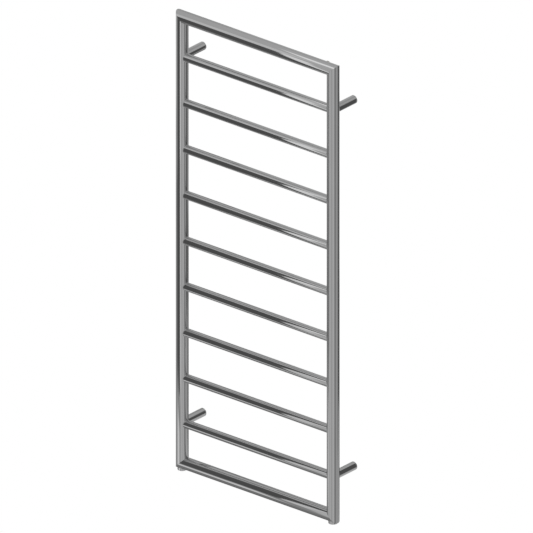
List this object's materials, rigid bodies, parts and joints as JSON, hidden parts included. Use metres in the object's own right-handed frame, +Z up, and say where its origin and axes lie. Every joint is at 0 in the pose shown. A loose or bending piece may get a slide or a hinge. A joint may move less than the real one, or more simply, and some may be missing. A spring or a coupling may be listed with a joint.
{
  "type": "towel warmer rack",
  "caption": "Wall-hung ladder towel warmer: mitred round-tube frame with evenly spaced crossbars, round wall posts, two bottom pipe sockets and a bleed vent.",
  "frame": {"origin": "in the wall's plane, at the centre of the four wall posts", "axes": "+X to the right as seen from the room, +Y into the wall, +Z up; the tubes' axes lie at y = -0.080"},
  "size_m": [0.52, 0.096, 1.2535],
  "materials": {
    "polished_chrome": "mirror polished",
    "nickel_plate": "nickel plated, satin",
    "steel": "plain, as machined",
    "brass": "as machined",
    "rubber": "matt"
  },
  "bodies": {
    "rack": {"left_upright": "polished_chrome", "right_upright": "polished_chrome", "top_rail": "polished_chrome", "bottom_rail": "polished_chrome", "crossbar_1": "polished_chrome", "crossbar_2": "polished_chrome", "crossbar_3": "polished_chrome", "crossbar_4": "polished_chrome", "crossbar_5": "polished_chrome", "crossbar_6": "polished_chrome", "crossbar_7": "polished_chrome", "crossbar_8": "polished_chrome", "crossbar_9": "polished_chrome", "left_pipe_boss": "polished_chrome", "right_pipe_boss": "polished_chrome", "vent_boss": "polished_chrome", "vent_o_ring": "rubber", "vent_body": "nickel_plate", "post_top_left": "polished_chrome", "post_top_right": "polished_chrome", "post_bottom_left": "polished_chrome", "post_bottom_right": "polished_chrome"},
    "spigot_top_left": {"wall_spigot_top_left": "polished_chrome"},
    "pad_top_left": {"pressure_pad_top_left": "brass"},
    "grub_top_left": {"grub_screw_top_left": "steel"},
    "spigot_top_right": {"wall_spigot_top_right": "polished_chrome"},
    "pad_top_right": {"pressure_pad_top_right": "brass"},
    "grub_top_right": {"grub_screw_top_right": "steel"},
    "spigot_bottom_left": {"wall_spigot_bottom_left": "polished_chrome"},
    "pad_bottom_left": {"pressure_pad_bottom_left": "brass"},
    "grub_bottom_left": {"grub_screw_bottom_left": "steel"},
    "spigot_bottom_right": {"wall_spigot_bottom_right": "polished_chrome"},
    "pad_bottom_right": {"pressure_pad_bottom_right": "brass"},
    "grub_bottom_right": {"grub_screw_bottom_right": "steel"},
    "bleed_seal": {"bleed_seal": "rubber"},
    "bleed_spindle": {"bleed_spindle": "brass"}
  },
  "joints": [
    {"name": "spigot_slide_top_left", "type": "slide", "parent": "rack", "child": "spigot_top_left", "axis": [0, 1, 0], "range_m": [0, 0.015]},
    {"name": "grub_lift_top_left", "type": "slide", "parent": "rack", "child": "pad_top_left", "axis": [0, 0, -1], "range_m": [0, 0.0014]},
    {"name": "grub_turn_top_left", "type": "hinge", "parent": "pad_top_left", "child": "grub_top_left", "pos_m": [-0.244, -0.02, 0.501], "axis": [0, 0, -1], "range_deg": [0, 720]},
    {"name": "spigot_slide_top_right", "type": "slide", "parent": "rack", "child": "spigot_top_right", "axis": [0, 1, 0], "range_m": [0, 0.015]},
    {"name": "grub_lift_top_right", "type": "slide", "parent": "rack", "child": "pad_top_right", "axis": [0, 0, -1], "range_m": [0, 0.0014]},
    {"name": "grub_turn_top_right", "type": "hinge", "parent": "pad_top_right", "child": "grub_top_right", "pos_m": [0.244, -0.02, 0.501], "axis": [0, 0, -1], "range_deg": [0, 720]},
    {"name": "spigot_slide_bottom_left", "type": "slide", "parent": "rack", "child": "spigot_bottom_left", "axis": [0, 1, 0], "range_m": [0, 0.015]},
    {"name": "grub_lift_bottom_left", "type": "slide", "parent": "rack", "child": "pad_bottom_left", "axis": [0, 0, -1], "range_m": [0, 0.0014]},
    {"name": "grub_turn_bottom_left", "type": "hinge", "parent": "pad_bottom_left", "child": "grub_bottom_left", "pos_m": [-0.244, -0.02, -0.501], "axis": [0, 0, -1], "range_deg": [0, 720]},
    {"name": "spigot_slide_bottom_right", "type": "slide", "parent": "rack", "child": "spigot_bottom_right", "axis": [0, 1, 0], "range_m": [0, 0.015]},
    {"name": "grub_lift_bottom_right", "type": "slide", "parent": "rack", "child": "pad_bottom_right", "axis": [0, 0, -1], "range_m": [0, 0.0014]},
    {"name": "grub_turn_bottom_right", "type": "hinge", "parent": "pad_bottom_right", "child": "grub_bottom_right", "pos_m": [0.244, -0.02, -0.501], "axis": [0, 0, -1], "range_deg": [0, 720]},
    {"name": "bleed_lift", "type": "slide", "parent": "rack", "child": "bleed_seal", "axis": [0, 1, 0], "range_m": [0, 0.0012]},
    {"name": "bleed_turn", "type": "hinge", "parent": "bleed_seal", "child": "bleed_spindle", "pos_m": [0.208, -0.0575, 0.609], "axis": [0, 1, 0], "range_deg": [0, 540]}
  ],
  "couplings": [
    {"joint": "grub_turn_top_left", "follows": "grub_lift_top_left", "rad_per_m": 8975},
    {"joint": "grub_turn_top_right", "follows": "grub_lift_top_right", "rad_per_m": 8975},
    {"joint": "grub_turn_bottom_left", "follows": "grub_lift_bottom_left", "rad_per_m": 8975},
    {"joint": "grub_turn_bottom_right", "follows": "grub_lift_bottom_right", "rad_per_m": 8975},
    {"joint": "bleed_turn", "follows": "bleed_lift", "rad_per_m": 7853}
  ]
}
